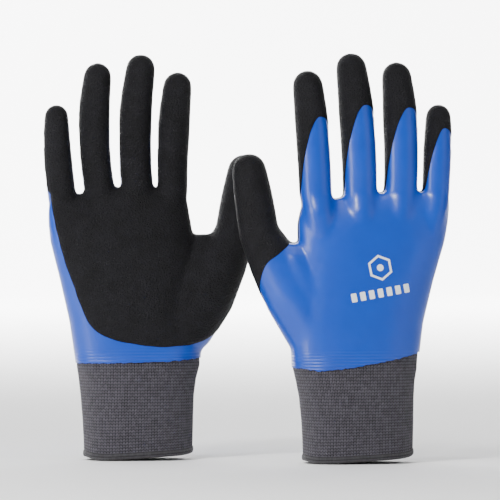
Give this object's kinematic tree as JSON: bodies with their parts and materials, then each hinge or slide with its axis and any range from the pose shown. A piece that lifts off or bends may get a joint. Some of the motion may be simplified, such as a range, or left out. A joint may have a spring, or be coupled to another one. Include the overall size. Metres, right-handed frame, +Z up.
{
  "type": "electrical insulating gloves",
  "caption": "Pair of coated insulating work gloves standing on their knitted cuffs: glossy blue coat, sandy black coat on palm, thumb and fingertips, stalls that bend at the roots",
  "frame": {"origin": "centre of the two gloves together, on the surface they stand on", "axes": "+Z runs up from the cuffs to the fingertips, +X runs from the rear glove to the front glove, +Y points away from the viewer, who sees the palm of the rear glove and the back of the front glove"},
  "size_m": [0.244, 0.109, 0.2525],
  "materials": {
    "blue_coating": "smooth glossy dipped coat",
    "black_coating": "matt sandy grip coat",
    "knit_liner": "fine grey knit",
    "cuff_knit": "grey knit with elastic",
    "cuff_hem": "bound overlock edge",
    "elastic": "thin elastic thread",
    "print": "white printed transfer"
  },
  "bodies": {
    "rear_hand": {"rear_hand_liner": "knit_liner", "rear_hand_blue_coat": "blue_coating", "rear_palm_black_coat": "black_coating", "rear_cuff_knit": "cuff_knit", "rear_cuff_hem": "cuff_hem", "rear_cuff_elastic": "elastic", "rear_back_print": "print"},
    "rear_little": {"rear_little_liner": "knit_liner", "rear_little_blue_coat": "blue_coating", "rear_little_black_coat": "black_coating"},
    "rear_ring": {"rear_ring_liner": "knit_liner", "rear_ring_blue_coat": "blue_coating", "rear_ring_black_coat": "black_coating"},
    "rear_middle": {"rear_middle_liner": "knit_liner", "rear_middle_blue_coat": "blue_coating", "rear_middle_black_coat": "black_coating"},
    "rear_index": {"rear_index_liner": "knit_liner", "rear_index_blue_coat": "blue_coating", "rear_index_black_coat": "black_coating"},
    "rear_thumb": {"rear_thumb_liner": "knit_liner", "rear_thumb_blue_coat": "blue_coating", "rear_thumb_black_coat": "black_coating"},
    "front_hand": {"front_hand_liner": "knit_liner", "front_hand_blue_coat": "blue_coating", "front_palm_black_coat": "black_coating", "front_cuff_knit": "cuff_knit", "front_cuff_hem": "cuff_hem", "front_cuff_elastic": "elastic", "front_back_print": "print"},
    "front_little": {"front_little_liner": "knit_liner", "front_little_blue_coat": "blue_coating", "front_little_black_coat": "black_coating"},
    "front_ring": {"front_ring_liner": "knit_liner", "front_ring_blue_coat": "blue_coating", "front_ring_black_coat": "black_coating"},
    "front_middle": {"front_middle_liner": "knit_liner", "front_middle_blue_coat": "blue_coating", "front_middle_black_coat": "black_coating"},
    "front_index": {"front_index_liner": "knit_liner", "front_index_blue_coat": "blue_coating", "front_index_black_coat": "black_coating"},
    "front_thumb": {"front_thumb_liner": "knit_liner", "front_thumb_blue_coat": "blue_coating", "front_thumb_black_coat": "black_coating"}
  },
  "joints": [
    {"name": "rear_little_knuckle", "type": "hinge", "parent": "rear_hand", "child": "rear_little", "pos_m": [-0.1105, 0.0315, 0.173], "axis": [1, 0, 0], "range_deg": [0, 60], "stiffness_Nm_per_rad": 0.05, "springref_deg": -5.73, "deforming": ["rear_little_liner"]},
    {"name": "rear_ring_knuckle", "type": "hinge", "parent": "rear_hand", "child": "rear_ring", "pos_m": [-0.0895, 0.0315, 0.173], "axis": [1, 0, 0], "range_deg": [0, 60], "stiffness_Nm_per_rad": 0.05, "springref_deg": -5.73, "deforming": ["rear_ring_liner"]},
    {"name": "rear_middle_knuckle", "type": "hinge", "parent": "rear_hand", "child": "rear_middle", "pos_m": [-0.0646, 0.0315, 0.173], "axis": [1, 0, 0], "range_deg": [0, 60], "stiffness_Nm_per_rad": 0.05, "springref_deg": -5.73, "deforming": ["rear_middle_liner"]},
    {"name": "rear_index_knuckle", "type": "hinge", "parent": "rear_hand", "child": "rear_index", "pos_m": [-0.0398, 0.0315, 0.173], "axis": [1, 0, 0], "range_deg": [0, 60], "stiffness_Nm_per_rad": 0.05, "springref_deg": -5.73, "deforming": ["rear_index_liner"]},
    {"name": "rear_thumb_knuckle", "type": "hinge", "parent": "rear_hand", "child": "rear_thumb", "pos_m": [-0.00182, 0.02274, 0.14762], "axis": [0.6, -0.8, 0], "range_deg": [0, 35], "stiffness_Nm_per_rad": 0.05, "springref_deg": -5.73, "deforming": ["rear_thumb_liner"]},
    {"name": "front_little_knuckle", "type": "hinge", "parent": "front_hand", "child": "front_little", "pos_m": [0.1105, -0.0315, 0.173], "axis": [-1, 0, 0], "range_deg": [0, 60], "stiffness_Nm_per_rad": 0.05, "springref_deg": -5.73, "deforming": ["front_little_liner"]},
    {"name": "front_ring_knuckle", "type": "hinge", "parent": "front_hand", "child": "front_ring", "pos_m": [0.0895, -0.0315, 0.173], "axis": [-1, 0, 0], "range_deg": [0, 60], "stiffness_Nm_per_rad": 0.05, "springref_deg": -5.73, "deforming": ["front_ring_liner"]},
    {"name": "front_middle_knuckle", "type": "hinge", "parent": "front_hand", "child": "front_middle", "pos_m": [0.0646, -0.0315, 0.173], "axis": [-1, 0, 0], "range_deg": [0, 60], "stiffness_Nm_per_rad": 0.05, "springref_deg": -5.73, "deforming": ["front_middle_liner"]},
    {"name": "front_index_knuckle", "type": "hinge", "parent": "front_hand", "child": "front_index", "pos_m": [0.0398, -0.0315, 0.173], "axis": [-1, 0, 0], "range_deg": [0, 60], "stiffness_Nm_per_rad": 0.05, "springref_deg": -5.73, "deforming": ["front_index_liner"]},
    {"name": "front_thumb_knuckle", "type": "hinge", "parent": "front_hand", "child": "front_thumb", "pos_m": [0.00182, -0.02274, 0.14762], "axis": [-0.6, 0.8, 0], "range_deg": [0, 35], "stiffness_Nm_per_rad": 0.05, "springref_deg": -5.73, "deforming": ["front_thumb_liner"]},
    {"name": "gloves_apart", "type": "slide", "parent": "rear_hand", "child": "front_hand", "axis": [1, 0, 0], "range_m": [0, 0.15]}
  ]
}
